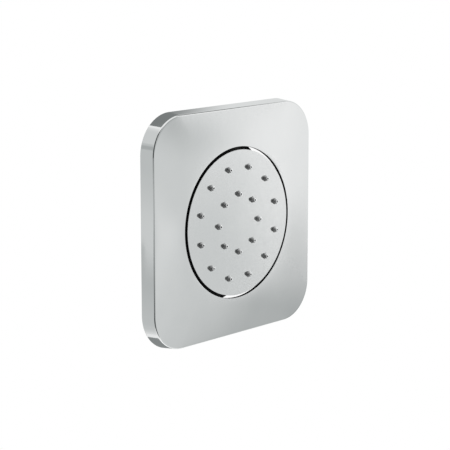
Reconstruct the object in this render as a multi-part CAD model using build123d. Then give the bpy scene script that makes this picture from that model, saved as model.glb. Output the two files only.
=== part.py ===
from build123d import *
import os
from math import atan2, cos, degrees, radians, sin, sqrt

# The jet is modelled on its back: Z is the height above the wall, and Y is up the wall.
# It is stood up against the wall when it is written out.

# Cover plate: a thin shell with leaning sides and a shallow crowned face
plate_side = 120.0
plate_corner_r = 20.3
plate_edge_h = 8.3
plate_crown = 2.0
plate_lean = 0.92
plate_wall = 1.8
plate_edge_round = 0.6
height_tol = 0.001
hole_r = 39.2
post_r = 2.5
post_x = 30.0
post_y = 45.0
post_wall_gap = 0.6

# Spray head: chromed face with a skirt, a nozzle mat behind it and a moulded back
face_gap = 1.4
face_proud = 0.35
face_wall = 2.0
face_edge_round = 0.5
skirt_h = 8.7
skirt_wall = 1.5
mat_wall = 1.2
chamber_h = 2.9
back_wall = 2.2
back_gap = 0.3
boss_r = 9.0
boss_h = 2.3
bead_w = 0.7

# Nozzles: an outer ring set in from the face's rim and an inner ring, with their counts and first angles
outer_ring_inset = 8.64
outer_ring_count = 12
outer_ring_angle = 15.0
inner_ring_r = 15.11
inner_ring_count = 8
inner_ring_angle = 0.0
nozzle_base_r = 1.6
nozzle_tip_r = 1.0
nozzle_h = 1.9
nozzle_bore_r = 0.9
orifice_r = 0.45
nozzle_gap = 0.05
mat_margin = 0.75

# Head screws
screw_count = 6
screw_angle = 30.0
screw_r = 1.0
screw_bite = 3.6
screw_head_r = 1.9
screw_head_h = 1.4
screw_hole_gap = 0.15
screw_boss_gap = 0.34
recess_len = 2.2
recess_w = 0.5
recess_depth = 0.7

# Ball joint and stem
ball_depth = 20.65
ball_r = 9.0
liner_wall = 1.0
liner_half_h = 4.5
liner_slit = 1.2
run_gap = 0.08
stem_r = 5.0
stem_bore_r = 2.6
stem_rest_r = 6.3
stem_rest_h = 1.2
stem_end_h = 1.0
ball_flat_land = 0.6
float_gap = 0.3
clip_t = 0.6
clip_r = 7.0
clip_depth = 0.9
clip_mouth = 6.0

# Seals: section radius of each ring
ball_seal_r = 1.2
ball_seal_ring_r = 6.6
stem_seal_r = 0.75
regulator_seal_r = 0.8
seal_gap = 0.05

# Inlet body, collar and lock nut
socket_wall = 4.84
collar_wall = 3.0
collar_front_h = 5.5
collar_skirt_h = 9.0
collar_notches = 6
notch_w = 4.0
notch_depth = 1.6
thread_gap = 0.05
flange_margin = 2.0
flange_t = 3.0
shank_r = 11.0
shank_l = 10.0
spigot_r = 10.478
spigot_l = 11.5
spigot_chamfer = 1.0
bore_r = 7.0
throat_r = 4.5
gasket_t = 1.5
hole_gap = 0.15
nut_flats = 30.0
nut_t = 5.0
nut_chamfer = 1.0

# Flow regulator and strainer in the bore
regulator_t = 4.0
regulator_from_shank = 5.5
regulator_holes = 6
regulator_hole_r = 0.8
regulator_hole_ring_r = 3.2
insert_gap = 0.1
strainer_rim_r = 7.5
strainer_rim_t = 1.2
strainer_r = 5.6
strainer_wall = 0.6
strainer_l = 9.0
strainer_slots = 8
strainer_slot_w = 1.2
strainer_end = 1.5
strainer_recess = 0.3

# Wall box and what fixes the plate to it: an open pan that the head swivels in and a narrow well behind it
swivel_room = 5.2
pan_depth = 8.5
pan_floor = 2.0
pan_rib_w = 9.0
flange_relief = 2.0
well_room = 3.95
well_depth = 28.0
well_floor = 2.5
box_wall = 2.0
flange_gap = 0.45
box_flange_t = 3.0
wall_screw_spacing = 76.0
wall_hole_r = 2.25
bush_wall = 1.0
bush_rim = 1.3
bush_rim_t = 1.0
bush_wall_gap = 0.4
grip_gap = 0.05
strip_w = 1.8
strip_h = 3.0
strip_gap = 0.1

# Heights that follow from the sizes above
face_z = plate_edge_h + plate_crown + face_proud
face_r = hole_r - face_gap
mat_top = face_z - face_wall
mat_z = mat_top - mat_wall
back_top = mat_z - chamber_h
back_z = back_top - back_wall
boss_z = back_z - boss_h
ball_z = face_z - ball_depth
socket_r = ball_r + run_gap + liner_wall + run_gap
socket_out_r = socket_r + socket_wall
collar_r = socket_out_r + thread_gap + collar_wall
pan_r = face_r + swivel_room
well_r = collar_r + well_room
floor_z = -well_depth
nut_seat_z = floor_z - well_floor
inlet_z = floor_z + gasket_t
flange_r = nut_flats / 2 + flange_margin
shank_z = inlet_z - shank_l
spigot_z = shank_z - spigot_l
strip_inset = plate_wall + plate_lean * strip_h / plate_edge_h + strip_gap
flange_inset = strip_inset + strip_w + flange_gap


def rod(radius, low, high, x=0.0, y=0.0):
    """A cylinder along Z between two heights."""
    return Pos(x, y, low) * Cylinder(radius, high - low, align=(Align.CENTER, Align.CENTER, Align.MIN))


def ring(outer, inner, low, high):
    """A plain ring along Z between two heights."""
    return rod(outer, low, high) - rod(inner, low, high)


def around(radius, count, first_angle=0.0):
    """Points evenly spaced round a circle."""
    angles = [radians(first_angle + 360.0 * i / count) for i in range(count)]
    return [(radius * cos(a), radius * sin(a)) for a in angles]


def corners(x, y):
    """The four corners of a centred rectangle, given its half sides."""
    return [(x, y), (-x, y), (-x, -y), (x, -y)]


def inset_slab(inset, height):
    """A slab on the wall with the cover plate's outline drawn in by an inset."""
    side = plate_side - 2 * inset
    return extrude(RectangleRounded(side, side, plate_corner_r - inset), height)


def seal_ring(ring_r, section_r, height):
    """An O-ring at a height."""
    return Pos(0, 0, height) * Torus(ring_r, section_r)


# Cover plate
def plate_outline(inset, height):
    """Rounded square outline of the plate, as eight edges from the right-hand side round."""
    half = plate_side / 2 - inset
    r = plate_corner_r - inset
    edges = []
    for quarter in range(4):
        turn = Rot(0, 0, 90 * quarter)
        side = Line((half, r - half, height), (half, half - r, height))
        corner = CenterArc((half - r, half - r, height), r, 0, 90)
        edges += [turn * side, turn * corner]
    return Wire(edges)


def hole_outline(inset, height):
    """The hole's circle cut at the same eight places as the plate's outline."""
    half = plate_side / 2 - inset
    half_span = degrees(atan2(half - plate_corner_r + inset, half))
    edges = []
    for quarter in range(4):
        side = CenterArc((0, 0, height), hole_r, 90 * quarter - half_span, 2 * half_span)
        corner = CenterArc((0, 0, height), hole_r, 90 * quarter + half_span, 90 - 2 * half_span)
        edges += [side, corner]
    return Wire(edges)


def plate_form(inset):
    """The solid that the plate's skin wraps, drawn in by an inset."""
    edge_h = plate_edge_h - inset
    lean = plate_lean + inset
    sides = Solid.make_loft([plate_outline(inset, 0), plate_outline(lean, edge_h)], ruled=True)
    crown = Solid.make_loft(
        [plate_outline(lean, edge_h), hole_outline(lean, edge_h + plate_crown)],
        ruled=True,
    )
    return sides + crown


def make_cover_plate():
    skin = plate_form(0)
    front_edge = skin.edges().filter_by_position(Axis.Z, plate_edge_h - height_tol, plate_edge_h + height_tol)
    skin = fillet(front_edge, plate_edge_round)
    plate = skin - plate_form(plate_wall)
    plate -= rod(hole_r, 0, face_z + plate_crown)
    post_top = plate_edge_h + (plate_crown - plate_wall) / 2
    for x, y in corners(post_x, post_y):
        plate += rod(post_r, post_wall_gap, post_top, x, y)
    return plate


def make_rim_seal():
    return inset_slab(strip_inset, strip_h) - inset_slab(strip_inset + strip_w, strip_h)


# Wall box
bush_r = post_r + grip_gap + bush_wall


def pan_windows():
    """The open side of the pan, between the four ribs that join its floor to the flange."""
    window_r = pan_r + box_wall + flange_relief
    windows = ring(window_r, pan_r, -pan_depth, box_flange_t)
    rib_h = pan_depth + box_flange_t
    rib = Pos(0, 0, -pan_depth) * Box(pan_rib_w, 2 * window_r, rib_h, align=(Align.CENTER, Align.CENTER, Align.MIN))
    return windows - rib - Rot(0, 0, 90) * rib


def make_wall_box():
    box = inset_slab(flange_inset, box_flange_t)
    box += rod(pan_r + box_wall, -pan_depth - pan_floor, box_flange_t)
    box += rod(well_r + box_wall, nut_seat_z, -pan_depth)
    box -= rod(pan_r, -pan_depth, box_flange_t)
    box -= pan_windows()
    box -= rod(well_r, floor_z, -pan_depth)
    box -= rod(shank_r + hole_gap, nut_seat_z, floor_z)
    for x, y in corners(wall_screw_spacing / 2, wall_screw_spacing / 2):
        box -= rod(wall_hole_r, 0, box_flange_t, x, y)
    for x, y in corners(post_x, post_y):
        box -= rod(bush_r + grip_gap, 0, box_flange_t, x, y)
    return box


def make_grip_bushes():
    bushes = []
    for x, y in corners(post_x, post_y):
        sleeve = rod(bush_r, bush_wall_gap, box_flange_t, x, y)
        rim = rod(bush_r + bush_rim, box_flange_t, box_flange_t + bush_rim_t, x, y)
        bore = rod(post_r + grip_gap, 0, box_flange_t + bush_rim_t, x, y)
        bushes.append(sleeve + rim - bore)
    return bushes


# Inlet body with the ball socket
seal_reach = ball_r + seal_gap + ball_seal_r
ball_seal_z = ball_z - sqrt(seal_reach**2 - ball_seal_ring_r**2)
seal_floor_z = ball_seal_z - ball_seal_r - seal_gap
seal_pocket_r = ball_seal_ring_r + ball_seal_r + seal_gap
socket_mouth_z = ball_z - sqrt(socket_r**2 - seal_pocket_r**2)
regulator_top = inlet_z - regulator_from_shank


def make_inlet_body():
    body = rod(socket_out_r, inlet_z, ball_z)
    body += rod(flange_r, inlet_z, inlet_z + flange_t)
    body += rod(shank_r, shank_z, inlet_z)
    spigot = rod(spigot_r, spigot_z, shank_z)
    body += chamfer(spigot.edges().group_by(Axis.Z)[0], spigot_chamfer)
    body -= Pos(0, 0, ball_z) * Sphere(socket_r) - rod(socket_r, ball_z - socket_r, socket_mouth_z)
    body -= rod(seal_pocket_r, seal_floor_z, socket_mouth_z)
    body -= rod(throat_r, regulator_top, seal_floor_z)
    body -= rod(bore_r, spigot_z, regulator_top)
    body -= rod(strainer_rim_r + insert_gap, spigot_z, spigot_z + strainer_recess + strainer_rim_t)
    return body


def make_inlet_gasket():
    return ring(flange_r, shank_r + hole_gap, floor_z, inlet_z)


def make_lock_nut():
    low = nut_seat_z - nut_t
    blank = extrude(Pos(0, 0, low) * RegularPolygon(nut_flats / 2, 6, major_radius=False), nut_t)
    corner_r = nut_flats / 2 / cos(radians(30))
    turned = chamfer(rod(corner_r, low, nut_seat_z).edges().group_by(Axis.Z)[0], nut_chamfer)
    return (blank & turned) - rod(shank_r + thread_gap, low, nut_seat_z)


def make_ball_seal():
    return seal_ring(ball_seal_ring_r, ball_seal_r, ball_seal_z)


def make_ball_collar():
    low = ball_z - collar_skirt_h
    high = ball_z + collar_front_h
    collar = rod(collar_r, low, high)
    collar -= rod(socket_out_r + thread_gap, low, ball_z)
    collar -= Pos(0, 0, ball_z) * Sphere(socket_r)
    for i in range(collar_notches):
        notch = Box(2 * notch_depth, notch_w, 2 * notch_depth)
        collar -= Rot(0, 0, 360 * i / collar_notches) * Pos(collar_r, 0, high) * notch
    return collar


# What sits in the bore of the inlet body
regulator_r = bore_r - insert_gap
regulator_mid = regulator_top - regulator_t / 2
regulator_ring_r = bore_r - seal_gap - regulator_seal_r


def make_flow_regulator():
    body = rod(regulator_r, regulator_top - regulator_t, regulator_top)
    groove_r = regulator_ring_r - regulator_seal_r - seal_gap
    half_w = regulator_seal_r + seal_gap
    body -= ring(bore_r, groove_r, regulator_mid - half_w, regulator_mid + half_w)
    for x, y in around(regulator_hole_ring_r, regulator_holes):
        body -= rod(regulator_hole_r, regulator_top - regulator_t, regulator_top, x, y)
    return body


def make_regulator_seal():
    return seal_ring(regulator_ring_r, regulator_seal_r, regulator_mid)


def make_strainer():
    rim_z = spigot_z + strainer_recess
    seat_z = rim_z + strainer_rim_t
    end_z = seat_z + strainer_l
    basket = rod(strainer_rim_r, rim_z, seat_z) + rod(strainer_r, seat_z, end_z)
    basket -= rod(strainer_r - strainer_wall, rim_z, end_z - strainer_wall)
    slot_l = strainer_l - 2 * strainer_end
    slot_z = seat_z + strainer_end + slot_l / 2
    for i in range(strainer_slots):
        slot = Box(4 * strainer_wall, strainer_slot_w, slot_l)
        basket -= Rot(0, 0, 360 * i / strainer_slots) * Pos(strainer_r, 0, slot_z) * slot
    return basket


# Ball, liner and stem
clip_z = back_top + float_gap
stem_top = clip_z + clip_t + stem_end_h
rest_top = boss_z - float_gap
stem_seal_z = (boss_z + back_top) / 2
stem_ring_r = stem_r + run_gap - seal_gap - stem_seal_r


def make_ball_liner():
    outer_r = ball_r + run_gap + liner_wall
    band = rod(outer_r, ball_z - liner_half_h, ball_z + liner_half_h)
    band &= Pos(0, 0, ball_z) * Sphere(outer_r)
    band -= Pos(0, 0, ball_z) * Sphere(ball_r + run_gap)
    return band - Pos(0, outer_r, ball_z) * Box(liner_slit, 2 * outer_r, 2 * outer_r)


def make_ball_stem():
    flat_r = stem_bore_r + ball_flat_land
    flat_z = ball_z - sqrt(ball_r**2 - flat_r**2)
    stem = Pos(0, 0, ball_z) * Sphere(ball_r) & rod(ball_r, flat_z, ball_z + ball_r)
    stem += rod(stem_r, ball_z, stem_top)
    stem += rod(stem_rest_r, rest_top - stem_rest_h, rest_top)
    groove_r = stem_ring_r - stem_seal_r - seal_gap
    half_w = stem_seal_r + seal_gap
    stem -= ring(stem_rest_r, groove_r, stem_seal_z - half_w, stem_seal_z + half_w)
    stem -= ring(stem_rest_r, stem_r - clip_depth, clip_z, clip_z + clip_t)
    return stem - rod(stem_bore_r, flat_z, stem_top)


def make_stem_seal():
    return seal_ring(stem_ring_r, stem_seal_r, stem_seal_z)


def make_stem_clip():
    clip = ring(clip_r, stem_r - clip_depth + seal_gap, clip_z, clip_z + clip_t)
    return clip - Pos(0, -clip_r, clip_z) * Box(clip_mouth, 2 * clip_r, 2 * clip_t)


# Spray head
back_r = face_r - skirt_wall - back_gap
outer_ring_r = face_r - outer_ring_inset
mat_r = outer_ring_r + nozzle_base_r + mat_margin
screw_ring_r = (mat_r + back_r) / 2
screw_boss_r = (back_r - mat_r) / 2 - screw_boss_gap
screw_points = around(screw_ring_r, screw_count, screw_angle)
nozzle_points = around(outer_ring_r, outer_ring_count, outer_ring_angle)
nozzle_points += around(inner_ring_r, inner_ring_count, inner_ring_angle)
screw_end_z = back_top + screw_bite


def make_spray_face():
    disc = rod(face_r, face_z - skirt_h, face_z)
    disc = fillet(disc.edges().group_by(Axis.Z)[-1], face_edge_round)
    disc -= rod(face_r - skirt_wall, face_z - skirt_h, mat_top)
    for x, y in screw_points:
        disc += rod(screw_boss_r, back_top, mat_top, x, y)
    for x, y in screw_points:
        disc -= rod(screw_r + thread_gap, back_top, screw_end_z + float_gap, x, y)
    for x, y in nozzle_points:
        disc -= rod(nozzle_base_r + nozzle_gap, mat_top, face_z, x, y)
    return disc


def make_nozzle_mat():
    mat = rod(mat_r, mat_z, mat_top)
    for x, y in nozzle_points:
        mat += rod(nozzle_base_r, mat_top, face_z, x, y)
        tip = Cone(nozzle_base_r, nozzle_tip_r, nozzle_h, align=(Align.CENTER, Align.CENTER, Align.MIN))
        mat += Pos(x, y, face_z) * tip
    for x, y in nozzle_points:
        mat -= rod(nozzle_bore_r, mat_z, face_z, x, y)
        mat -= rod(orifice_r, face_z, face_z + nozzle_h, x, y)
    return mat


def make_head_back():
    back = rod(back_r, back_z, back_top)
    back += rod(boss_r, boss_z, back_z)
    back += ring(mat_r, mat_r - bead_w, back_top, mat_z)
    back -= rod(stem_r + run_gap, boss_z, back_top)
    for x, y in screw_points:
        back -= rod(screw_r + screw_hole_gap, back_z, back_top, x, y)
    return back


def make_head_screws():
    screws = []
    for x, y in screw_points:
        head_z = back_z - screw_head_h
        screw = rod(screw_head_r, head_z, back_z, x, y) + rod(screw_r, back_z, screw_end_z, x, y)
        for turn in (0, 90):
            screw -= Pos(x, y, head_z) * Rot(0, 0, turn) * Box(recess_len, recess_w, 2 * recess_depth)
        screws.append(screw)
    return screws


def save(name, shapes):
    """Stand a piece up against the wall and write it out."""
    solids = [s for shape in shapes for s in shape.solids()]
    upright = Rot(90, 0, 0) * (solids[0] if len(solids) == 1 else Compound(children=solids))
    export_step(upright, f"parts/{name}.step")


os.makedirs("parts", exist_ok=True)
save("cover_plate", [make_cover_plate()])
save("rim_seal", [make_rim_seal()])
save("wall_box", [make_wall_box()])
save("grip_bushes", make_grip_bushes())
save("inlet_body", [make_inlet_body()])
save("inlet_gasket", [make_inlet_gasket()])
save("lock_nut", [make_lock_nut()])
save("flow_regulator", [make_flow_regulator()])
save("regulator_seal", [make_regulator_seal()])
save("strainer", [make_strainer()])
save("ball_seal", [make_ball_seal()])
save("ball_collar", [make_ball_collar()])
save("ball_liner", [make_ball_liner()])
save("ball_stem", [make_ball_stem()])
save("stem_seal", [make_stem_seal()])
save("stem_clip", [make_stem_clip()])
save("spray_face", [make_spray_face()])
save("nozzle_mat", [make_nozzle_mat()])
save("head_back", [make_head_back()])
save("head_screws", make_head_screws())
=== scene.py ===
from math import atan, cos, hypot, pi, radians, sin, sqrt, tan

import bpy
from mathutils import Matrix, Vector


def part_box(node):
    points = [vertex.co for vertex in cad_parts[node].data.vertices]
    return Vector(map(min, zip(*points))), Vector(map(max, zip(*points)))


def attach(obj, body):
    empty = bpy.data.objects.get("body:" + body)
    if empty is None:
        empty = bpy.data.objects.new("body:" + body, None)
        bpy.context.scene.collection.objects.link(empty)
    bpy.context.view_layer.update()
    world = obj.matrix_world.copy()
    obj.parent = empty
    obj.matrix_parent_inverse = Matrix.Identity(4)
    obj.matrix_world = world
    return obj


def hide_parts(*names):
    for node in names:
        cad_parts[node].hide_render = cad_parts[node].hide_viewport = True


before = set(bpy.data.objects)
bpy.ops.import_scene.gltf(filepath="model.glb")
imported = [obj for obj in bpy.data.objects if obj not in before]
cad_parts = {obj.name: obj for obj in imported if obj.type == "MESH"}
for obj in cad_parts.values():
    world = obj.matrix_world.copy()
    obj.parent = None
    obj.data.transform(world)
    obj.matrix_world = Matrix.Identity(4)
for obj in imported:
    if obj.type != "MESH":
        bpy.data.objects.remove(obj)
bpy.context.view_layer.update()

mm = 0.001


# Wall box: one black moulding of glass-filled nylon that is screwed to the wall and carries all the rest.
# Its flange lies on the wall, its open pan leaves the head room to swivel, and its well holds the inlet.
# Four ribs join the pan's floor to the flange, and gussets stiffen the floor round the well.
plate_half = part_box("cover_plate")[1].x
plate_corner_r = 20.3 * mm
side_steps = 24
corner_steps = 48


def start(add, name, **how):
    """Adds a primitive with nothing else selected, and names it."""
    bpy.ops.object.select_all(action="DESELECT")
    add(**how)
    piece = bpy.context.object
    piece.name = name
    piece.data.name = name
    return piece


def modify(piece, kind, **settings):
    """Adds one modifier to a piece and applies it."""
    bpy.context.view_layer.objects.active = piece
    modifier = piece.modifiers.new(kind.lower(), kind)
    for key, value in settings.items():
        setattr(modifier, key, value)
    bpy.ops.object.modifier_apply(modifier=modifier.name)


def turned(name, section, steps):
    """A piece turned about the jet's axis. Its section is a list of radii and heights above the wall."""
    points = [Vector((radius, -height, 0)) for radius, height in section]
    piece = start(bpy.ops.mesh.primitive_plane_add, name)
    bpy.ops.object.mode_set(mode="EDIT")
    bpy.ops.mesh.merge(type="CENTER")
    bpy.ops.transform.translate(value=points[0])
    for here, there in zip(points, points[1:]):
        bpy.ops.mesh.extrude_region_move(TRANSFORM_OT_translate={"value": there - here})
    bpy.ops.mesh.select_all(action="SELECT")
    bpy.ops.mesh.spin(steps=steps, angle=2 * pi, center=(0, 0, 0), axis=(0, 1, 0))
    bpy.ops.mesh.select_all(action="SELECT")
    bpy.ops.mesh.remove_doubles(threshold=0.002 * mm)
    bpy.ops.mesh.normals_make_consistent(inside=False)
    bpy.ops.object.mode_set(mode="OBJECT")
    return piece


def arc(centre, radius, first, last, steps):
    """Points of an arc in a section, with angles in degrees from the radial direction towards the front."""
    angles = [radians(first + (last - first) * i / steps) for i in range(steps + 1)]
    return [(centre[0] + radius * cos(a), centre[1] + radius * sin(a)) for a in angles]


def slab(name, points, thickness):
    """A flat piece from an outline of points, with its thickness as a vector."""
    piece = start(bpy.ops.mesh.primitive_circle_add, name, vertices=len(points), fill_type="NGON")
    piece.data.vertices.foreach_set("co", [c for point in points for c in point])
    bpy.ops.object.mode_set(mode="EDIT")
    bpy.ops.mesh.select_all(action="SELECT")
    bpy.ops.mesh.extrude_region_move(TRANSFORM_OT_translate={"value": thickness})
    bpy.ops.mesh.select_all(action="SELECT")
    bpy.ops.mesh.normals_make_consistent(inside=False)
    bpy.ops.object.mode_set(mode="OBJECT")
    return piece


def lofted(name, rings, closed=True):
    """A skin through rings of points: a circle extruded ring by ring, with its ends bridged or filled."""
    piece = start(bpy.ops.mesh.primitive_circle_add, name, vertices=len(rings[0]), radius=plate_half)
    bpy.ops.object.mode_set(mode="EDIT")
    bpy.ops.mesh.select_all(action="SELECT")
    for _ in rings[1:]:
        bpy.ops.mesh.extrude_region_move(TRANSFORM_OT_translate={"value": (0, 0, mm)})
    bpy.ops.object.mode_set(mode="OBJECT")
    piece.data.vertices.foreach_set("co", [c for points in rings for point in points for c in point])
    bpy.ops.object.mode_set(mode="EDIT")
    bpy.ops.mesh.select_all(action="DESELECT")
    bpy.ops.mesh.select_non_manifold()
    if closed:
        bpy.ops.mesh.bridge_edge_loops()
    else:
        bpy.ops.mesh.fill_holes(sides=0)
    bpy.ops.mesh.select_all(action="SELECT")
    bpy.ops.mesh.normals_make_consistent(inside=False)
    bpy.ops.object.mode_set(mode="OBJECT")
    return piece


def plate_outline(inset):
    """Rounded square of the cover plate drawn in by an inset: points with their outward directions."""
    half = plate_half - inset
    radius = plate_corner_r - inset
    straight = half - radius
    side = [((half, straight * (2 * i / side_steps - 1)), (1, 0)) for i in range(side_steps)]
    angles = [pi / 2 * i / corner_steps for i in range(corner_steps)]
    corner = [((straight + radius * cos(a), straight + radius * sin(a)), (cos(a), sin(a))) for a in angles]
    points = []
    for c, s in ((1, 0), (0, 1), (-1, 0), (0, -1)):
        for (x, z), (nx, nz) in side + corner:
            points.append(((x * c - z * s, x * s + z * c), (nx * c - nz * s, nx * s + nz * c)))
    return points


def square_ring(inset, height):
    """A ring of points on the plate's outline drawn in by an inset, at a height above the wall."""
    return [(x, -height, z) for (x, z), _ in plate_outline(inset)]


def round_ring(radius, height):
    """A ring of points on a circle, each in line with a point of the plate's outline."""
    outline = [point for point, _ in plate_outline(0)]
    return [(radius * x / hypot(x, z), -height, radius * z / hypot(x, z)) for x, z in outline]


def copied(piece, move):
    """A copy of a piece with its own mesh, moved by a matrix."""
    copy = piece.copy()
    copy.data = piece.data.copy()
    copy.data.transform(move)
    bpy.context.collection.objects.link(copy)
    return copy


def join(piece, others):
    """Joins other meshes into a piece."""
    bpy.ops.object.select_all(action="DESELECT")
    for other in others:
        other.select_set(True)
    piece.select_set(True)
    bpy.context.view_layer.objects.active = piece
    bpy.ops.object.join()
    return piece


def repeated(piece, moves):
    """Copies of a piece at each move, joined into one. The piece itself is taken away."""
    copies = [copied(piece, move) for move in moves]
    bpy.data.objects.remove(piece)
    return join(copies[0], copies[1:])


def cut(piece, cutter):
    """Takes a cutter's shape out of a piece."""
    modify(piece, "BOOLEAN", object=cutter, operation="DIFFERENCE", solver="EXACT")
    bpy.data.objects.remove(cutter)


def smooth(piece, angle):
    """Shades a piece smooth up to an angle, with its flat faces kept flat."""
    bpy.ops.object.select_all(action="DESELECT")
    piece.select_set(True)
    bpy.context.view_layer.objects.active = piece
    bpy.ops.object.shade_smooth_by_angle(angle=radians(angle))
    modify(piece, "WEIGHTED_NORMAL", keep_sharp=True, weight=100)


def places(points):
    """Moves over the face of the wall to each of a list of points."""
    return [Matrix.Translation((x, 0, z)) for x, z in points]


def turns(count, first_angle):
    """Even turns about the jet's axis, with the first angle in degrees."""
    return [Matrix.Rotation(radians(first_angle + 360 * i / count), 4, "Y") for i in range(count)]


def corners(x, z):
    """The four corners of a centred rectangle."""
    return [(x, z), (-x, z), (-x, -z), (x, -z)]


face_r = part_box("spray_face")[1].x
flange_inset = plate_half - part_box("wall_box")[1].x
flange_t = -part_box("wall_box")[0].y
box_back = -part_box("wall_box")[1].y
swivel_room = 5.2 * mm
pan_r = face_r + swivel_room
pan_wall_top = 0.5 * mm
pan_depth = 8.5 * mm
pan_floor = 2.0 * mm
pan_rib_w = 9.0 * mm
pan_round = 1.2 * mm
window_inner_r = pan_r - 3.0 * mm
window_outer_r = pan_r + 4.0 * mm
well_r = 22.0 * mm
well_floor = 2.5 * mm
well_chamfer = 0.8 * mm
well_round = 1.0 * mm
box_wall = 2.0 * mm
box_steps = 144
inlet_hole_r = 11.15 * mm
flange_round = 0.4 * mm
wall_hole_r = 2.25 * mm
wall_screw_at = 38.0 * mm
sink_r = 3.9 * mm
sink_depth = 1.3 * mm
post_x = 30.0 * mm
post_z = 45.0 * mm
bush_hole_r = 3.6 * mm
hole_steps = 32
gusset_count = 8
gusset_t = 1.6 * mm
gusset_h = 6.5 * mm
gusset_end_h = 0.6 * mm
gusset_root = 1.0 * mm
gusset_round = 0.3 * mm
overshoot = 1.0 * mm
skim = 0.01 * mm


def window_cutter():
    """The four openings between the ribs of the pan."""
    front = flange_t + overshoot
    section = [
        (window_inner_r, -pan_depth),
        (window_outer_r, -pan_depth),
        (window_outer_r, front),
        (window_inner_r, front),
        (window_inner_r, -pan_depth),
    ]
    opening = turned("windows", section, box_steps)
    across = 4 * plate_half
    for scale in ((pan_rib_w, plate_half, across), (across, plate_half, pan_rib_w)):
        rib = start(bpy.ops.mesh.primitive_cube_add, "rib", size=1, scale=scale)
        cut(opening, rib)
    return opening


def well_and_pan():
    """The turned part of the box: the pan behind the flange and the well behind the pan."""
    pan_back = -pan_depth - pan_floor
    section = [(pan_r, pan_wall_top), (pan_r, -pan_depth), (well_r + well_chamfer, -pan_depth)]
    section += [(well_r, -pan_depth - well_chamfer), (well_r, box_back + well_floor)]
    section += [(inlet_hole_r, box_back + well_floor), (inlet_hole_r, box_back)]
    section += arc((well_r + box_wall - well_round, box_back + well_round), well_round, -90, 0, 6)
    section += arc((well_r + box_wall + pan_round, pan_back - pan_round), pan_round, 180, 90, 6)
    section += arc((pan_r + box_wall - pan_round, pan_back + pan_round), pan_round, -90, 0, 6)
    section += [(pan_r + box_wall, pan_wall_top), (pan_r, pan_wall_top)]
    return turned("pan", section, box_steps)


def box_flange():
    """The square flange with its countersunk screw holes and its holes for the bushes."""
    rings = [square_ring(flange_inset + flange_round, 0), square_ring(flange_inset, flange_round)]
    for inset, height in arc((flange_round, flange_t - flange_round), flange_round, 180, 90, 4):
        rings.append(square_ring(flange_inset + inset, height))
    for radius, height in arc((pan_r + flange_round, flange_t - flange_round), flange_round, 90, 180, 4):
        rings.append(round_ring(radius, height))
    rings.append(round_ring(pan_r, 0))
    flange = lofted("flange", rings)
    back = -overshoot
    front = flange_t + overshoot
    sink = [(wall_hole_r, flange_t - sink_depth), (sink_r, flange_t + skim), (sink_r, front)]
    screw_hole = turned("screw_hole", [(0, back), (wall_hole_r, back), *sink, (0, front)], hole_steps)
    cut(flange, repeated(screw_hole, places(corners(wall_screw_at, wall_screw_at))))
    bush_section = [(0, back), (bush_hole_r, back), (bush_hole_r, front), (0, front)]
    bush_hole = turned("bush_hole", bush_section, hole_steps)
    cut(flange, repeated(bush_hole, places(corners(post_x, post_z))))
    return flange


windows = window_cutter()
wall_box = well_and_pan()
cut(wall_box, copied(windows, Matrix()))
flange = box_flange()
cut(flange, windows)
floor_back = pan_depth + pan_floor
gusset = slab(
    "gusset",
    [
        (well_r + gusset_root, floor_back - gusset_root, -gusset_t / 2),
        (pan_r, floor_back - gusset_root, -gusset_t / 2),
        (pan_r, floor_back + gusset_end_h, -gusset_t / 2),
        (well_r + gusset_root, floor_back + gusset_h, -gusset_t / 2),
    ],
    (0, 0, gusset_t),
)
modify(gusset, "BEVEL", width=gusset_round, segments=2, limit_method="ANGLE")
gussets = repeated(gusset, turns(gusset_count, 180 / gusset_count))
join(wall_box, [flange, gussets])
wall_box.name = "open_wall_box"
smooth(wall_box, 32)


def effect(name, inputs, output):
    """An empty shader node group with named inputs, and a function that adds a node to it."""
    group = bpy.data.node_groups.new(name, "ShaderNodeTree")
    for label in inputs:
        group.interface.new_socket(label, in_out="INPUT", socket_type="NodeSocketFloat")
    group.interface.new_socket(output, in_out="OUTPUT", socket_type="NodeSocketFloat")
    entry = group.nodes.new("NodeGroupInput")
    leave = group.nodes.new("NodeGroupOutput")

    def add(kind, links, **settings):
        """Adds a node; each link is one of its inputs with the socket that feeds it."""
        node = group.nodes.new(kind)
        for key, value in settings.items():
            setattr(node, key, value)
        for target, source in links:
            if isinstance(source, (int, float)):
                node.inputs[target].default_value = source
            else:
                group.links.new(source, node.inputs[target])
        return node

    return group, entry.outputs, leave.inputs, add


def cloudiness():
    """Slow blotches over a surface, between a low and a high value."""
    group, given, result, add = effect("cloudiness", ("Scale", "Low", "High"), "Value")
    place = add("ShaderNodeTexCoord", ()).outputs["Object"]
    links = (("Vector", place), ("Scale", given["Scale"]), ("Detail", 4), ("Roughness", 0.6))
    noise = add("ShaderNodeTexNoise", links)
    links = ((0, noise.outputs[0]), (1, 0.3), (2, 0.7), (3, given["Low"]), (4, given["High"]))
    spread = add("ShaderNodeMapRange", links)
    group.links.new(spread.outputs[0], result[0])
    return group


def mould_grain():
    """The fine etched grain of a mould, as a height."""
    group, given, result, add = effect("mould_grain", ("Scale",), "Height")
    place = add("ShaderNodeTexCoord", ()).outputs["Object"]
    links = (("Vector", place), ("Scale", given["Scale"]), ("Detail", 3), ("Roughness", 0.55))
    fine = add("ShaderNodeTexNoise", links)
    cells = add("ShaderNodeTexVoronoi", (("Vector", place), ("Scale", given["Scale"])))
    both = add("ShaderNodeMath", ((0, fine.outputs[0]), (1, cells.outputs["Distance"])), operation="MULTIPLY")
    group.links.new(both.outputs[0], result[0])
    return group


cloudy = cloudiness()
grain = mould_grain()


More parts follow.
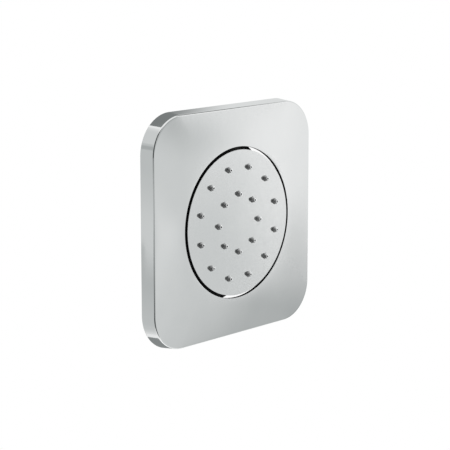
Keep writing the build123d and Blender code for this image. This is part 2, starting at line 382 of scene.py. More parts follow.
class Finish:
    """A material under way: its Principled shader, and the ways to vary it over a surface."""

    def __init__(self, name, metallic=0.0):
        self.material = bpy.data.materials.new(name)
        self.material.use_nodes = True
        self.tree = self.material.node_tree
        self.shader = self.tree.nodes["Principled BSDF"]
        self.shader.inputs["Metallic"].default_value = metallic

    def place(self, group, **values):
        """Places an effect with its own values and returns its output."""
        node = self.tree.nodes.new("ShaderNodeGroup")
        node.node_tree = group
        for label, value in values.items():
            node.inputs[label].default_value = value
        return node.outputs[0]

    def colour(self, mask, low, high):
        """Colours the surface between two colours by a mask."""
        ramp = self.tree.nodes.new("ShaderNodeMix")
        ramp.data_type = "RGBA"
        ramp.inputs[6].default_value = (*low, 1)
        ramp.inputs[7].default_value = (*high, 1)
        self.tree.links.new(mask, ramp.inputs[0])
        self.tree.links.new(ramp.outputs[2], self.shader.inputs["Base Color"])

    def rough(self, value):
        """Roughness that changes over the surface."""
        self.tree.links.new(value, self.shader.inputs["Roughness"])

    def relief(self, height, depth, strength=1.0):
        """Fine relief from a height, its depth in metres."""
        bump = self.tree.nodes.new("ShaderNodeBump")
        bump.inputs["Distance"].default_value = depth
        bump.inputs["Strength"].default_value = strength
        before = self.shader.inputs["Normal"].links
        if before:
            self.tree.links.new(before[0].from_socket, bump.inputs["Normal"])
        self.tree.links.new(height, bump.inputs["Height"])
        self.tree.links.new(bump.outputs[0], self.shader.inputs["Normal"])


def moulded_plastic(name, dark, light, rough):
    """Plastic from an etched mould: two near colours, patchy gloss and a fine grain."""
    finish = Finish(name)
    finish.colour(finish.place(cloudy, Scale=60, Low=0, High=1), dark, light)
    finish.rough(finish.place(cloudy, Scale=140, Low=rough - 0.06, High=rough + 0.06))
    finish.relief(finish.place(grain, Scale=2200), 0.06 * mm, 0.5)
    return finish.material


def dress(piece, material, body, node):
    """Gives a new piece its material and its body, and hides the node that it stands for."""
    piece.data.materials.clear()
    piece.data.materials.append(material)
    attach(piece, body)
    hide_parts(node)


box_plastic = moulded_plastic("black_glass_filled_nylon", (0.019, 0.019, 0.020), (0.031, 0.031, 0.033), 0.52)
dress(wall_box, box_plastic, "wall_set", "wall_box")


# Inlet: a turned brass body with the ball socket in front and the supply spigot behind, bare as it comes off
# the lathe. It stands in the well on a rubber gasket, and a hexagon nut on its shank clamps it to the floor.
# The shank has a fine thread for the nut, and the spigot a half-inch pipe thread.
inlet_front = -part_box("inlet_body")[0].y
inlet_end = -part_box("inlet_body")[1].y
inlet_h = 16.5 * mm
inlet_seat = inlet_front - inlet_h
inlet_steps = 96
socket_r = 10.16 * mm
socket_out_r = 15.0 * mm
socket_lip = 0.3 * mm
socket_chamfer = 0.5 * mm
inlet_flange_r = 17.0 * mm
inlet_flange_t = 3.0 * mm
inlet_flange_round = 0.4 * mm
shank_r = 11.0 * mm
shank_l = 10.0 * mm
shank_end = inlet_seat - shank_l
shank_pitch = 1.5 * mm
shank_depth = 0.92 * mm
shank_chamfer = 0.3 * mm
spigot_r = 10.478 * mm
spigot_pitch = 1.814 * mm
spigot_depth = 1.162 * mm
spigot_chamfer = 1.0 * mm
spigot_lead = 0.7 * mm
spigot_runout = 0.3 * mm
inlet_bore_r = 7.0 * mm
strainer_seat_r = 7.6 * mm
strainer_seat = 1.5 * mm
strainer_chamfer = 0.2 * mm
throat_r = 4.5 * mm
throat_depth = 5.5 * mm
throat_z = inlet_seat - throat_depth
seal_pocket_r = 7.85 * mm
seal_pocket_depth = 9.09 * mm
seal_pocket_z = inlet_front - seal_pocket_depth
socket_mouth = 6.45 * mm
socket_sweep_deg = 36


def thread(name, crest_r, depth, pitch, low, high):
    """A thread's ridge, wound round the jet's axis between two heights and run out at both ends."""
    per_turn = 48
    lead_in, lead_out = 24, 36
    root_lap = 0.1 * mm
    root_r = crest_r - depth - root_lap
    section = [(0, -0.46), (0.88, -0.13), (1, -0.06), (1, 0.06), (0.88, 0.13), (0, 0.46)]
    count = int((high - low - pitch) / pitch * per_turn)
    rings = []
    for i in range(count + 1):
        angle = 2 * pi * i / per_turn
        middle = low + pitch / 2 + pitch * i / per_turn
        rise = min(1, (i + 1) / lead_in, (count - i + 1) / lead_out)
        ring = []
        for up, along in section:
            radius = root_r + up * rise * (crest_r - root_r)
            ring.append((radius * cos(angle), -middle - along * pitch, radius * sin(angle)))
        rings.append(ring)
    return lofted(name, rings, closed=False)


shank_root_r = shank_r - shank_depth
spigot_root_r = spigot_r - spigot_depth
inlet_flange_front = inlet_seat + inlet_flange_t
inlet_body = turned(
    "threaded_inlet",
    [
        (socket_r + socket_lip, inlet_front),
        (socket_out_r - socket_chamfer, inlet_front),
        (socket_out_r, inlet_front - socket_chamfer),
        (socket_out_r, inlet_flange_front + inlet_flange_round),
        (socket_out_r + inlet_flange_round, inlet_flange_front),
        (inlet_flange_r - inlet_flange_round, inlet_flange_front),
        (inlet_flange_r, inlet_flange_front - inlet_flange_round),
        (inlet_flange_r, inlet_seat),
        (shank_root_r, inlet_seat),
        (shank_root_r, shank_end + shank_chamfer),
        (shank_root_r - shank_chamfer, shank_end),
        (spigot_root_r, shank_end),
        (spigot_root_r, inlet_end + spigot_chamfer),
        (spigot_root_r - spigot_lead, inlet_end),
        (strainer_seat_r + strainer_chamfer, inlet_end),
        (strainer_seat_r, inlet_end + strainer_chamfer),
        (strainer_seat_r, inlet_end + strainer_seat),
        (inlet_bore_r, inlet_end + strainer_seat),
        (inlet_bore_r, throat_z),
        (throat_r, throat_z),
        (throat_r, seal_pocket_z),
        (seal_pocket_r, seal_pocket_z),
        (seal_pocket_r, inlet_front - socket_mouth),
    ]
    + arc((0, inlet_front), socket_r, -socket_sweep_deg, 0, 9)
    + [(socket_r + socket_lip, inlet_front)],
    inlet_steps,
)
smooth(inlet_body, 30)
shank_thread = thread("shank_thread", shank_r, shank_depth, shank_pitch, shank_end, inlet_seat)
spigot_start = inlet_end + spigot_runout
spigot_thread = thread("spigot_thread", spigot_r, spigot_depth, spigot_pitch, spigot_start, shank_end)
smooth(shank_thread, 25)
smooth(spigot_thread, 25)
join(inlet_body, [shank_thread, spigot_thread])


def turning_marks():
    """The fine rings that a lathe tool leaves, as a height."""
    group, given, result, add = effect("turning_marks", ("Scale",), "Height")
    place = add("ShaderNodeTexCoord", ()).outputs["Object"]
    x, y, z = add("ShaderNodeSeparateXYZ", ((0, place),)).outputs
    square = add("ShaderNodeMath", ((0, x), (1, x)), operation="MULTIPLY")
    squares = add("ShaderNodeMath", ((0, z), (1, z), (2, square.outputs[0])), operation="MULTIPLY_ADD")
    radius = add("ShaderNodeMath", ((0, squares.outputs[0]),), operation="SQRT")
    along = add("ShaderNodeMath", ((0, radius.outputs[0]), (1, y)), operation="ADD")
    links = (("W", along.outputs[0]), ("Scale", given["Scale"]), ("Detail", 2))
    rings = add("ShaderNodeTexNoise", links, noise_dimensions="1D")
    group.links.new(rings.outputs[0], result[0])
    return group


lathe = turning_marks()


def turned_metal(name, dark, light, rough, spacing):
    """Bare metal off the lathe: two near colours, patchy gloss and turning marks at a spacing."""
    finish = Finish(name, metallic=1)
    finish.colour(finish.place(cloudy, Scale=90, Low=0, High=1), dark, light)
    finish.rough(finish.place(cloudy, Scale=220, Low=rough - 0.07, High=rough + 0.07))
    finish.relief(finish.place(lathe, Scale=1 / spacing), 0.02 * mm, 0.6)
    return finish.material


brass = turned_metal("turned_brass", (0.68, 0.49, 0.22), (0.80, 0.61, 0.32), 0.27, 0.25 * mm)
dress(inlet_body, brass, "wall_set", "inlet_body")

nut_half = 15.0 * mm
nut_t = 5.0 * mm
nut_seat = -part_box("lock_nut")[0].y
nut_back = nut_seat - nut_t
nut_corner_r = nut_half / cos(pi / 6)
nut_chamfer = 1.0 * mm
nut_face_r = nut_half - 0.2 * mm
nut_bore_r = shank_r + 0.05 * mm
nut_sink_r = nut_bore_r + 0.8 * mm
nut_sink_depth = 0.7 * mm
nut_skim = 0.1 * mm
hexagon = [(nut_corner_r * cos(pi / 3 * i), -nut_seat, nut_corner_r * sin(pi / 3 * i)) for i in range(6)]
lock_nut = slab("hexagon_nut", hexagon, (0, nut_t, 0))
round_blank = turned(
    "round_blank",
    [
        (0, nut_seat),
        (nut_corner_r, nut_seat),
        (nut_corner_r, nut_back + nut_chamfer),
        (nut_face_r, nut_back),
        (0, nut_back),
    ],
    inlet_steps,
)
modify(lock_nut, "BOOLEAN", object=round_blank, operation="INTERSECT", solver="EXACT")
bpy.data.objects.remove(round_blank)
nut_hole = turned(
    "nut_hole",
    [
        (0, nut_seat + overshoot),
        (nut_bore_r, nut_seat + overshoot),
        (nut_bore_r, nut_back + nut_sink_depth),
        (nut_sink_r, nut_back - nut_skim),
        (nut_sink_r, nut_back - overshoot),
        (0, nut_back - overshoot),
    ],
    inlet_steps,
)
cut(lock_nut, nut_hole)
smooth(lock_nut, 25)
dress(lock_nut, brass, "wall_set", "lock_nut")


def rubber(name, dark, light, rough):
    """Moulded rubber: near black, dull, with a faint bloom."""
    finish = Finish(name)
    finish.colour(finish.place(cloudy, Scale=180, Low=0, High=1), dark, light)
    finish.rough(finish.place(cloudy, Scale=400, Low=rough - 0.05, High=rough + 0.05))
    finish.relief(finish.place(grain, Scale=3000), 0.03 * mm, 0.4)
    return finish.material


def finish_nodes(material, *names):
    """Gives CAD pieces that keep their own shape a material."""
    for name in names:
        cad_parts[name].material_slots[0].material = material


seal_rubber = rubber("black_rubber", (0.010, 0.010, 0.010), (0.021, 0.021, 0.020), 0.6)
finish_nodes(seal_rubber, "inlet_gasket")


# Flow regulator and strainer: a blue moulded regulator with its O-ring sits against a step in the inlet's
# bore, and a pressed stainless strainer closes the spigot's end. Both are pushed in from behind.
regulator_plastic = moulded_plastic("blue_acetal", (0.07, 0.20, 0.34), (0.10, 0.25, 0.41), 0.35)
steel = turned_metal("stainless_steel", (0.55, 0.55, 0.56), (0.66, 0.66, 0.67), 0.24, 0.18 * mm)
finish_nodes(regulator_plastic, "flow_regulator")
finish_nodes(seal_rubber, "regulator_seal")
finish_nodes(steel, "strainer")


# Ball joint: the hollow ball of the stem turns in a split acetal liner in the inlet's socket, on an O-ring.
# A notched brass collar screwed over the socket holds the ball in and sets how stiffly the head swivels.
# The stem is chromed, and carries an O-ring and a spring clip for the head.
acetal = moulded_plastic("natural_acetal", (0.72, 0.72, 0.69), (0.80, 0.80, 0.77), 0.32)
finish_nodes(seal_rubber, "ball_seal", "stem_seal")
finish_nodes(acetal, "ball_liner")
finish_nodes(brass, "ball_collar")
finish_nodes(steel, "stem_clip")


def polished_chrome():
    """Chrome plate over polished metal: faintly patchy gloss, and the slow waves that polishing leaves."""
    finish = Finish("polished_chrome", metallic=1)
    finish.colour(finish.place(cloudy, Scale=45, Low=0, High=1), (0.785, 0.797, 0.797), (0.812, 0.822, 0.82))
    finish.rough(finish.place(cloudy, Scale=70, Low=0.045, High=0.075))
    finish.relief(finish.place(cloudy, Scale=38, Low=0, High=1), 0.03 * mm, 0.35)
    return finish.material


chrome = polished_chrome()
finish_nodes(chrome, "ball_stem")


# Head back: a dark grey moulding that closes the spray head from behind, with a boss that turns on the stem.
# Six stainless screws through its rim pull it against the spray face.
head_plastic = moulded_plastic("dark_grey_moulding", (0.075, 0.077, 0.08), (0.10, 0.103, 0.107), 0.48)
finish_nodes(head_plastic, "head_back")
finish_nodes(steel, "head_screws")


# Nozzle mat: one moulding of grey silicone that lies behind the spray face.
# Twenty soft nozzles stand out of it through the face, an outer ring of twelve and an inner ring of eight,
# so that lime can be rubbed off them with a thumb.
def around(radius, count, first_angle):
    """Points evenly spaced round the jet's axis, across the wall and up it."""
    angles = [radians(first_angle + 360 * i / count) for i in range(count)]
    return [(radius * cos(a), radius * sin(a)) for a in angles]


mat_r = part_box("nozzle_mat")[1].x
mat_z = -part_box("nozzle_mat")[1].y
tip_z = -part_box("nozzle_mat")[0].y
face_z = -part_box("spray_face")[0].y
face_wall = 2.0 * mm
mat_top = face_z - face_wall
mat_chamfer = 0.2 * mm
outer_ring_r = face_r - 8.64 * mm
inner_ring_r = 15.11 * mm
nozzle_points = around(outer_ring_r, 12, 15) + around(inner_ring_r, 8, 0)
nozzle_r = 1.6 * mm
nozzle_root = mat_top - 0.1 * mm
shoulder_z = face_z + 0.1 * mm
shoulder_round = 0.12 * mm
cone_z = face_z + 0.3 * mm
nozzle_tip_r = 1.0 * mm
nozzle_round = 0.12 * mm
tip_flare = 0.03 * mm
tip_round = 0.07 * mm
orifice_r = 0.5 * mm
orifice_lip = 0.3 * mm
orifice_round = 0.03 * mm
bore_r = 0.9 * mm
bore_end = face_z - 0.4 * mm

nozzle = turned(
    "nozzle",
    [
        (bore_r, nozzle_root),
        (nozzle_r, nozzle_root),
        (nozzle_r, shoulder_z),
        (nozzle_r - shoulder_round, cone_z),
        (nozzle_tip_r + tip_flare, tip_z - nozzle_round),
        (nozzle_tip_r - tip_round, tip_z - 0.3 * nozzle_round),
        (nozzle_tip_r - nozzle_round, tip_z),
        (orifice_r + orifice_round, tip_z),
        (orifice_r, tip_z - orifice_round),
        (orifice_r, tip_z - orifice_lip),
        (0.8 * bore_r, tip_z - 2.5 * orifice_lip),
        (bore_r, bore_end),
        (bore_r, nozzle_root),
    ],
    32,
)
smooth(nozzle, 40)
nozzles = repeated(nozzle, places(nozzle_points))
nozzle_mat = turned(
    "silicone_mat",
    [(0, mat_z), (mat_r - mat_chamfer, mat_z), (mat_r, mat_z + mat_chamfer), (mat_r, mat_top), (0, mat_top)],
    96,
)
bore_start = mat_z - overshoot
bore = turned("bore", [(0, bore_start), (bore_r, bore_start), (bore_r, face_z), (0, face_z)], 24)
cut(nozzle_mat, repeated(bore, places(nozzle_points)))
smooth(nozzle_mat, 30)
join(nozzle_mat, [nozzles])


def root_shade_tip_light():
    """A mask that rises from a nozzle's root to its tip, with faint random clouds: painted shade at the root
    and painted light at the tip.
    """
    group, given, result, add = effect("root_shade_tip_light", ("Root", "Tip"), "Mask")
    place = add("ShaderNodeTexCoord", ()).outputs["Object"]
    axes = add("ShaderNodeSeparateXYZ", ((0, place),))
    rise = add("ShaderNodeMapRange", ((0, axes.outputs[1]), (1, given["Root"]), (2, given["Tip"])))
    links = (("Vector", place), ("Scale", 300), ("Detail", 4), ("Roughness", 0.6))
    noise = add("ShaderNodeTexNoise", links)
    clouds = add("ShaderNodeMapRange", ((0, noise.outputs[0]), (1, 0.3), (2, 0.7), (3, -0.1), (4, 0.1)))
    links = ((0, rise.outputs[0]), (1, clouds.outputs[0]))
    both = add("ShaderNodeMath", links, operation="ADD", use_clamp=True)
    group.links.new(both.outputs[0], result[0])
    return group


def soft_silicone():
    """Grey silicone: satin, faintly cloudy, with painted shade at the roots and painted light at the tips,
    and the fine grain of its mould.
    """
    finish = Finish("grey_silicone")
    shade_to_tip_light = finish.place(root_shade_tip_light(), Root=-face_z, Tip=-tip_z)
    # The darker grey at the roots is painted shade, and the lighter grey at the tips is painted light.
    finish.colour(shade_to_tip_light, (0.32, 0.325, 0.325), (0.53, 0.54, 0.54))
    finish.rough(finish.place(cloudy, Scale=700, Low=0.40, High=0.52))
    finish.relief(finish.place(grain, Scale=5000), 0.02 * mm, 0.4)
    return finish.material


dress(nozzle_mat, soft_silicone(), "head", "nozzle_mat")


# Spray face: a moulded disc, chrome plated on its face, with a hole for each nozzle and six bosses behind it
# for the screws of the head's back. Its skirt widens towards the wall by the mould's draft, and is masked
# from the plating and painted black as painted shade, so the gap round the disc reads as a dark line.
face_round = 0.10 * mm
plated_depth = 0.15 * mm
skirt_z = -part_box("spray_face")[1].y
skirt_wall = 1.5 * mm
skirt_draft = 0.35 * mm
face_flat_r = face_r - 1.2 * mm
nozzle_gap = 0.05 * mm
nozzle_hole_r = nozzle_r + nozzle_gap
back_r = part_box("head_back")[1].x
boss_gap = 0.34 * mm
boss_r = (back_r - mat_r) / 2 - boss_gap
chamber_h = 2.9 * mm
boss_end = mat_z - chamber_h
boss_root = mat_top + 0.1 * mm
screw_hole_r = 1.05 * mm
screw_hole_l = 3.9 * mm
screw_hole_top = boss_end + screw_hole_l
screw_points = around((mat_r + back_r) / 2, 6, 30)

spray_face = turned(
    "spray_disc",
    [(0, mat_top), (face_r - skirt_wall, mat_top), (face_r - skirt_wall, skirt_z)]
    + [(face_r + skirt_draft, skirt_z), (face_r, face_z - plated_depth)]
    + arc((face_r - face_round, face_z - face_round), face_round, 0, 90, 6)
    + [(face_flat_r, face_z), (0, face_z)],
    192,
)
hole_section = [(0, mat_z), (nozzle_hole_r, mat_z), (nozzle_hole_r, tip_z), (0, tip_z)]
hole = turned("hole", hole_section, hole_steps)
cut(spray_face, repeated(hole, places(nozzle_points)))
smooth(spray_face, 35)
boss = turned(
    "boss",
    [
        (screw_hole_r, boss_end),
        (boss_r, boss_end),
        (boss_r, boss_root),
        (0, boss_root),
        (0, screw_hole_top),
        (screw_hole_r, screw_hole_top),
        (screw_hole_r, boss_end),
    ],
    hole_steps,
)
smooth(boss, 30)
join(spray_face, [repeated(boss, places(screw_points))])


def black_lacquer_gap_shade():
    """Dull black lacquer on bare plastic, a little uneven; where it lines the gap round the disc it is
    painted shade.
    """
    finish = Finish("dull_black_lacquer_gap_shade")
    finish.colour(finish.place(cloudy, Scale=80, Low=0, High=1), (0.003, 0.003, 0.003), (0.006, 0.006, 0.006))
    finish.rough(finish.place(cloudy, Scale=160, Low=0.72, High=0.86))
    finish.relief(finish.place(grain, Scale=2600), 0.04 * mm, 0.4)
    finish.shader.inputs["Specular IOR Level"].default_value = 0.12
    return finish.material


lacquer_gap_shade = black_lacquer_gap_shade()
dress(spray_face, chrome, "head", "spray_face")
spray_face.data.materials.append(lacquer_gap_shade)
# Faces behind the plated rim take the black, which is painted shade for the gap round the disc.
for face in spray_face.data.polygons:
    if -face.center.y < face_z - plated_depth:
        face.material_index = 1


# Grip bushes and rim seal: four natural nylon bushes in the flange grip the posts of the cover plate, and a
# strip of closed-cell foam inside the plate's rim keeps water from running behind it.
nylon = moulded_plastic("natural_nylon", (0.66, 0.64, 0.56), (0.74, 0.72, 0.64), 0.42)
finish_nodes(nylon, "grip_bushes")

strip_inset = plate_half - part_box("rim_seal")[1].x
strip_w = 1.8 * mm
strip_h = -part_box("rim_seal")[0].y
strip_round = 0.35 * mm
strip_section = arc((strip_round, strip_round), strip_round, 270, 180, 3)
strip_section += arc((strip_round, strip_h - strip_round), strip_round, 180, 90, 3)
strip_section += arc((strip_w - strip_round, strip_h - strip_round), strip_round, 90, 0, 3)
strip_section += arc((strip_w - strip_round, strip_round), strip_round, 0, -90, 3)
strip_rings = [square_ring(strip_inset + inset, height) for inset, height in strip_section]
rim_seal = lofted("foam_strip", strip_rings)
smooth(rim_seal, 40)


def closed_cell_foam():
    """Dark foam: dull, with small open bubbles where it was slit."""
    finish = Finish("dark_foam")
    finish.colour(finish.place(cloudy, Scale=500, Low=0, High=1), (0.035, 0.035, 0.036), (0.07, 0.07, 0.071))
    finish.rough(finish.place(cloudy, Scale=300, Low=0.78, High=0.92))
    finish.relief(finish.place(grain, Scale=1400), 0.15 * mm, 0.8)
    return finish.material


dress(rim_seal, closed_cell_foam(), "wall_set", "rim_seal")


# Cover plate: one thin shell with rounded corners, leaning sides and a shallow crown that rises to a round
# hole, polished and chrome plated outside, with the hole's wall, the inside and the posts left black; the
# black hole wall is painted shade for the gap round the disc.
# The four posts on its back push into the bushes, so it pulls off for service.
plate_edge_h = 8.3 * mm
plate_crown = -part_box("cover_plate")[0].y - plate_edge_h
crown_power = 1.35
plate_lean = 0.92 * mm
plate_wall = 1.8 * mm
edge_round = 0.95 * mm
rim_round = 0.25 * mm
hole_edge_round = 0.08 * mm
face_gap = 1.6 * mm
plate_hole_r = face_r + face_gap
even_over_deg = 10
post_r = 2.5 * mm
post_gap = 0.6 * mm
post_lead = 0.6 * mm
post_lead_h = 0.9 * mm
post_top = plate_edge_h + (plate_crown - plate_wall) / 2


def edge_reach(x, z):
    """How far the plate's front edge lies from the axis in a direction."""
    half = plate_half - plate_lean
    radius = plate_corner_r - plate_lean
    straight = half - radius
    long, short = sorted((abs(x), abs(z)), reverse=True)
    if half * short / long <= straight:
        return half / long
    along = straight * (long + short)
    return along + sqrt(along**2 - 2 * straight**2 + radius**2)


def crown_reach(x, z, radius):
    """The reach that shapes the crown at a radius: evened over nearby directions, less so near the edge."""
    exact = edge_reach(x, z)
    nearby = []
    for turn in range(-even_over_deg, even_over_deg + 1, 2):
        cosine, sine = cos(radians(turn)), sin(radians(turn))
        nearby.append(edge_reach(x * cosine - z * sine, x * sine + z * cosine))
    even = sum(nearby) / len(nearby)
    return even + (exact - even) * ((radius - plate_hole_r) / (exact - plate_hole_r)) ** 2


def plate_rings():
    """Rings of points over the plate's skin, from its outer rim over the front and back to its inner rim."""
    lean_angle = atan(plate_edge_h / plate_lean)
    edge = plate_outline(plate_lean)
    slopes = []
    for (x, z), (nx, nz) in edge:
        reach = hypot(x, z)
        facing = (x * nx + z * nz) / reach
        slopes.append(plate_crown * crown_power / (reach - plate_hole_r) / facing)
    rings = []

    def ring(section):
        """Adds a ring along the outline, at the inset and height that a section gives for a slope."""
        points = []
        for slope, ((x, z), (nx, nz)) in zip(slopes, edge):
            inset, height = section(slope)
            points.append((x - nx * inset, -height, z - nz * inset))
        rings.append(points)

    def edge_point(slope, share):
        """Inset from the sharp edge and height, at a share of the way round the edge's rounding."""
        turn = lean_angle - atan(slope)
        reach = edge_round * tan(turn / 2)
        here = lean_angle - turn * share
        inset = -reach * cos(lean_angle) + edge_round * (sin(lean_angle) - sin(here))
        height = plate_edge_h - reach * sin(lean_angle) + edge_round * (cos(here) - cos(lean_angle))
        return inset, height

    ring(lambda slope: (-plate_lean + rim_round, 0))
    ring(lambda slope: (-plate_lean + 0.3 * rim_round, 0.3 * rim_round))
    ring(lambda slope: (-plate_lean + rim_round * plate_lean / plate_edge_h, rim_round))
    below_edge = 0.14
    ring(lambda slope: (-plate_lean * below_edge, plate_edge_h * (1 - below_edge)))
    edge_steps = 10
    for i in range(edge_steps + 1):
        ring(lambda slope: edge_point(slope, i / edge_steps))
    front = rings[-1]
    crown_steps = 28
    crown_end = plate_hole_r + hole_edge_round
    for i in range(1, crown_steps + 1):
        points = []
        for x, _, z in front:
            reach = hypot(x, z)
            here = reach + (crown_end - reach) * i / crown_steps
            dx, dz = x / reach, z / reach
            share = (here - plate_hole_r) / (crown_reach(dx, dz, here) - plate_hole_r)
            height = plate_edge_h + plate_crown * (1 - share**crown_power)
            points.append((here * dx, -height, here * dz))
        rings.append(points)

    top = plate_edge_h + plate_crown
    hole_section = arc((crown_end, top - hole_edge_round), hole_edge_round, 90, 180, 6)[1:]
    for radius, height in hole_section + [(plate_hole_r, top - plate_wall)]:
        rings.append([(radius * x / hypot(x, z), -height, radius * z / hypot(x, z)) for x, _, z in front])
    for share in (0.25, 0.5, 0.75):
        points = []
        for x, _, z in front:
            reach = hypot(x, z)
            here = plate_hole_r + (reach - plate_wall - plate_hole_r) * share
            height = plate_edge_h - plate_wall + plate_crown * (1 - share)
            points.append((here * x / reach, -height, here * z / reach))
        rings.append(points)
    ring(lambda slope: (plate_wall, plate_edge_h - plate_wall))
    ring(lambda slope: (plate_wall - plate_lean, 0))
    return rings


cover_plate = lofted("crowned_plate", plate_rings())
post_section = [(0, post_gap), (post_r - post_lead, post_gap), (post_r, post_gap + post_lead_h)]
post = turned("post", post_section + [(post_r, post_top), (0, post_top)], 40)
smooth(post, 30)
post.data.materials.append(lacquer_gap_shade)
posts = repeated(post, places(corners(post_x, post_z)))
smooth(cover_plate, 35)
dress(cover_plate, chrome, "wall_set", "cover_plate")
cover_plate.data.materials.append(lacquer_gap_shade)
# The hole's wall and the inside take the black; on the hole's wall it is painted shade for the gap round the
# disc.
for face in cover_plate.data.polygons:
    outward = Vector((face.center.x, 0, face.center.z)).normalized()
    faces_wall = face.normal.y > 0.5
    faces_axis = face.normal.dot(outward) < -0.95
    if faces_wall or faces_axis:
        face.material_index = 1
join(cover_plate, [posts])


# Studio: a white room with a pale floor. Standing boards give the chrome its greys and are seen only in
# reflections, and soft lamps light the rest.
def backdrop_light(tree):
    """Factor that is one where the lens, a reflection or glass looks at the background."""
    path = tree.nodes.new("ShaderNodeLightPath")
    first = tree.nodes.new("ShaderNodeMath")
    first.operation = "MAXIMUM"
    second = tree.nodes.new("ShaderNodeMath")
    second.operation = "MAXIMUM"
    tree.links.new(path.outputs["Is Camera Ray"], first.inputs[0])
    tree.links.new(path.outputs["Is Glossy Ray"], first.inputs[1])
    tree.links.new(first.outputs[0], second.inputs[0])
    tree.links.new(path.outputs["Is Transmission Ray"], second.inputs[1])
    return second.outputs[0]


world = bpy.data.worlds.new("white_studio")
bpy.context.scene.world = world
world.use_nodes = True
tree = world.node_tree
seen = backdrop_light(tree)
room = tree.nodes["Background"]
room.inputs["Color"].default_value = (1, 1, 1, 1)
level = tree.nodes.new("ShaderNodeMapRange")
level.inputs["To Min"].default_value = 0.12
level.inputs["To Max"].default_value = 1.0
tree.links.new(seen, level.inputs["Value"])
tree.links.new(level.outputs[0], room.inputs["Strength"])

floor_z = -1.0
floor = start(bpy.ops.mesh.primitive_plane_add, "floor", size=1.8, location=(0, 0, floor_z))
floor_material = bpy.data.materials.new("white_floor")
floor_material.use_nodes = True
tree = floor_material.node_tree
shader = tree.nodes["Principled BSDF"]
shader.inputs["Base Color"].default_value = (0.85, 0.85, 0.85, 1)
shader.inputs["Roughness"].default_value = 0.9
shader.inputs["Emission Color"].default_value = (1, 1, 1, 1)
lift = tree.nodes.new("ShaderNodeMath")
lift.operation = "MULTIPLY"
lift.inputs[1].default_value = 0.5
tree.links.new(backdrop_light(tree), lift.inputs[0])
tree.links.new(lift.outputs[0], shader.inputs["Emission Strength"])
floor.data.materials.append(floor_material)


def board(name, azimuth, distance, sides, heights, level, soft):
    """A standing studio board, seen only in reflections. Its limits and the widths of its soft edges (left,
    right, bottom, top) are in degrees as seen from the jet, and azimuth 0 is straight out of the wall."""
    left, right = [distance * tan(radians(side)) for side in sides]
    bottom, top = [distance * tan(radians(height)) for height in heights]
    turn = radians(azimuth)
    out = Vector((sin(turn), -cos(turn), 0))
    along = Vector((cos(turn), sin(turn), 0))
    card = start(
        bpy.ops.mesh.primitive_plane_add,
        name,
        location=out * distance + along * (left + right) / 2 + Vector((0, 0, (bottom + top) / 2)),
        rotation=(pi / 2, 0, turn),
    )
    card.scale = ((right - left) / 2, (top - bottom) / 2, 1)
    cool_grey = 0.07
    material = bpy.data.materials.new(name)
    material.use_nodes = True
    tree = material.node_tree
    tree.nodes.clear()
    surface = tree.nodes.new("ShaderNodeOutputMaterial")
    mix = tree.nodes.new("ShaderNodeMixShader")
    clear = tree.nodes.new("ShaderNodeBsdfTransparent")
    glow = tree.nodes.new("ShaderNodeEmission")
    glow.inputs["Color"].default_value = (1 - cool_grey * (1 - level), 1, 1, 1)
    glow.inputs["Strength"].default_value = level
    place = tree.nodes.new("ShaderNodeTexCoord")
    split = tree.nodes.new("ShaderNodeSeparateXYZ")
    tree.links.new(place.outputs["Object"], split.inputs[0])
    inner_left = distance * tan(radians(sides[0] + soft[0]))
    inner_right = distance * tan(radians(sides[1] - soft[1]))
    inner_bottom = distance * tan(radians(heights[0] + soft[2]))
    inner_top = distance * tan(radians(heights[1] - soft[3]))
    wide, high = right - left, top - bottom
    edges = (
        (0, -1, -1 + 2 * (inner_left - left) / wide),
        (0, 1, 1 - 2 * (right - inner_right) / wide),
        (1, -1, -1 + 2 * (inner_bottom - bottom) / high),
        (1, 1, 1 - 2 * (top - inner_top) / high),
    )
    mask = None
    for axis, outer, inner in edges:
        fade = tree.nodes.new("ShaderNodeMapRange")
        fade.interpolation_type = "SMOOTHSTEP"
        fade.inputs["From Min"].default_value = outer
        fade.inputs["From Max"].default_value = inner
        tree.links.new(split.outputs[axis], fade.inputs["Value"])
        if mask is None:
            mask = fade.outputs[0]
        else:
            both = tree.nodes.new("ShaderNodeMath")
            both.operation = "MULTIPLY"
            tree.links.new(mask, both.inputs[0])
            tree.links.new(fade.outputs[0], both.inputs[1])
            mask = both.outputs[0]
    tree.links.new(mask, mix.inputs[0])
    tree.links.new(clear.outputs[0], mix.inputs[1])
    tree.links.new(glow.outputs[0], mix.inputs[2])
    tree.links.new(mix.outputs[0], surface.inputs[0])
    material.cycles.emission_sampling = "NONE"
    card.data.materials.append(material)
    card.visible_camera = False
    card.visible_diffuse = False
    card.visible_shadow = False
    card.visible_transmission = False


board("front_grey", 0, 4.0, (-52, 52), (-50, 50), 0.72, (10, 12.5, 8, 8))
board("right_high_grey", 65, 3.95, (-16, 20), (-14, 30), 0.95, (10, 5, 8, 6))
board("front_light", 33, 3.9, (-6.5, 8), (-15.5, -8.5), 0.81, (4, 9, 4, 3))
board("front_shade", 25, 3.8, (-25, 21.5), (-7, 40), 0.42, (10, 6.5, 10.5, 10))
board("disc_shade", 45, 3.7, (-2.5, 4.5), (-17.5, -6), 0.71, (4.5, 2.5, 4, 6.5))
board("right_low_grey", 75, 3.6, (-38, 50), (-62, -7), 0.46, (21, 10, 5, 15.5))
board("right_grey", 68, 3.5, (-14.5, 30), (-32, -7), 0.22, (11, 10, 7, 18))
board("top_dark", 92, 1.2, (-24, 24), (39, 60), 0.1, (8, 8, 5.5, 6))
board("high_grey", 25, 3.3, (-28, 40), (44, 68), 0.82, (5, 8, 4, 6))
board("low_grey", 25, 0.2, (-50, 66), (-78, -50), 0.7, (6, 6, 1, 5))
board("left_dark", -50, 3.2, (-52, 57), (-50, 64), 0.1, (6, 6, 4, 6))
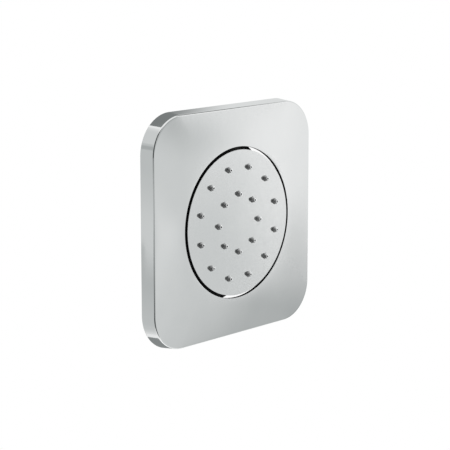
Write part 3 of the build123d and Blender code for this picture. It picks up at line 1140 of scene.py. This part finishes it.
board("left_low_dark", -40, 0.5, (-35, 19), (-63, -34), 0.1, (6, 3, 3, 6))
board("edge_glow", -45, 2.0, (-25, 30), (-17, -5), 0.4, (6, 6, 5, 5))
board("left_high_grey", -123, 0.75, (-33, 40), (18, 62), 0.72, (2.5, 10, 2, 15))
board("left_grey", -123, 0.7, (-35.5, 40), (-61, 25.5), 0.61, (1.5, 10, 32, 2.5))
board("left_stripe", -123, 0.66, (-45, 40), (11, 21.5), 0.48, (10, 10, 3, 3))
board("left_low_stripe", -123, 0.66, (-45, 40), (-17, -10.5), 0.54, (10, 10, 3.5, 1))
board("left_glow", -110, 0.65, (-45, 60), (-14.5, -5), 0.72, (10, 10, 3.5, 6))
board("right_back_low_grey", 130, 1.2, (-22, 25), (-45, -7), 0.42, (8, 6, 5, 6))
board("right_back_grey", 110, 1.3, (-45, 34.5), (2, 50), 0.80, (8, 4, 4, 7.5))
board("back_dark", 180, 0.7, (-50, 20), (-30, 64), 0.24, (5, 1.5, 5.5, 7.5))
board("back_low_dark", 180, 0.6, (-47.5, 16), (-61.5, -20), 0.29, (7, 1.5, 6, 5))


def lamp(name, place, size, power):
    """A soft square lamp aimed at the jet."""
    data = bpy.data.lights.new(name, "AREA")
    data.size = size
    data.energy = power
    light = bpy.data.objects.new(name, data)
    light.location = place
    light.rotation_euler = (-Vector(place)).to_track_quat("-Z", "Y").to_euler()
    light.visible_glossy = False
    bpy.context.collection.objects.link(light)


lamp("key_lamp", (0.56, -0.63, 0.31), 0.5, 15)
lamp("back_left_lamp", (-0.5, 0.62, 0.45), 0.6, 5.4)
lamp("back_right_lamp", (0.56, 0.67, 0.22), 0.6, 4.4)


# Camera: a long lens in front of the jet, well off to the left and a little above it.
# A small shift of the lens sets the jet in the frame.
azimuth = radians(-47.70)
elevation = radians(10.85)
distance = 0.8562
aim = Vector((0, -4.0 * mm, 0))
back = Vector((sin(azimuth) * cos(elevation), -cos(azimuth) * cos(elevation), sin(elevation)))
data = bpy.data.cameras.new("lens")
data.lens = 132.75
data.sensor_width = 36
data.shift_x = -0.00894
data.shift_y = -0.00875
camera = bpy.data.objects.new("lens", data)
camera.location = aim + back * distance
camera.rotation_euler = (-back).to_track_quat("-Z", "Y").to_euler()
bpy.context.collection.objects.link(camera)
bpy.context.scene.camera = camera
bpy.context.scene.view_settings.view_transform = "Standard"
